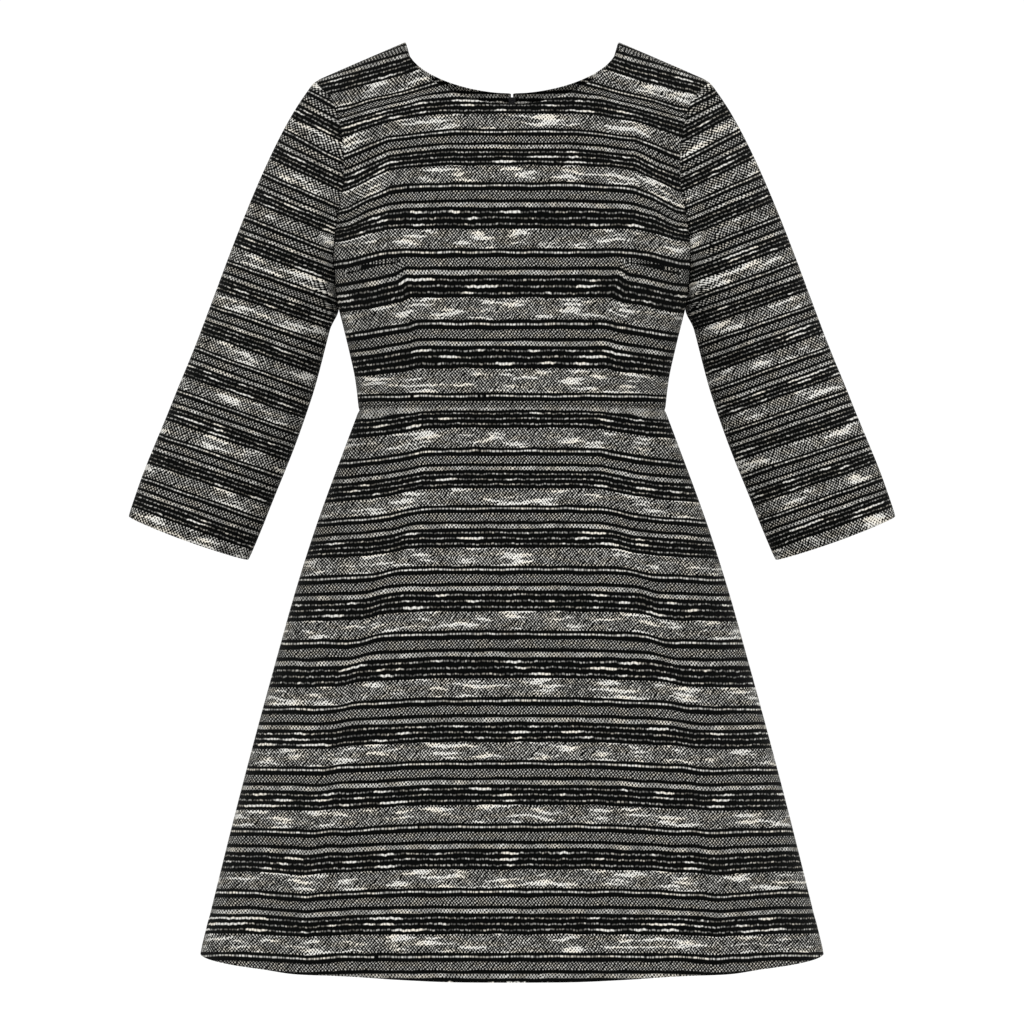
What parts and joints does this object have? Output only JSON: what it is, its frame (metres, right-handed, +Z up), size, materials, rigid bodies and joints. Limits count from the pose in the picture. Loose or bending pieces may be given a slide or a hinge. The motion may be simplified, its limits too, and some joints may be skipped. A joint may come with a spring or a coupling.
{
  "type": "a-line dress",
  "caption": "Knee-length a-line dress with three-quarter set-in sleeves, scoop neck, darted bodice and centre-back zip, filled out as worn, hollow and open at neck, cuffs and hem.",
  "frame": {"origin": "midway between the two neck points, at the height of the neck points, in the plane of the shoulder and side seams, where the wearer's shoulders carry the dress", "axes": "+Z up the dress from hem to neck, -Y out of the front, +X to the wearer's left, which is the right of the picture"},
  "size_m": [0.7448, 0.3931, 0.887],
  "materials": {
    "tweed": "black and cream striped boucle tweed, woven across in bands, soft and matt",
    "zip_tape": "black woven zip tape with its closed coil",
    "zip_metal": "black enamelled zip slider and pull"
  },
  "bodies": {
    "dress": {"bodice_front": "tweed", "bodice_back_left": "tweed", "bodice_back_right": "tweed", "skirt_front": "tweed", "skirt_back_left": "tweed", "skirt_back_right": "tweed", "sleeve_left": "tweed", "sleeve_right": "tweed", "zip_tape": "zip_tape", "zip_slider": "zip_metal"},
    "pull": {"zip_pull": "zip_metal"}
  },
  "joints": [
    {"name": "pull_hinge", "type": "hinge", "parent": "dress", "child": "pull", "pos_m": [0, 0.08253, -0.0544], "axis": [1, 0, 0], "range_deg": [0, 160]}
  ]
}
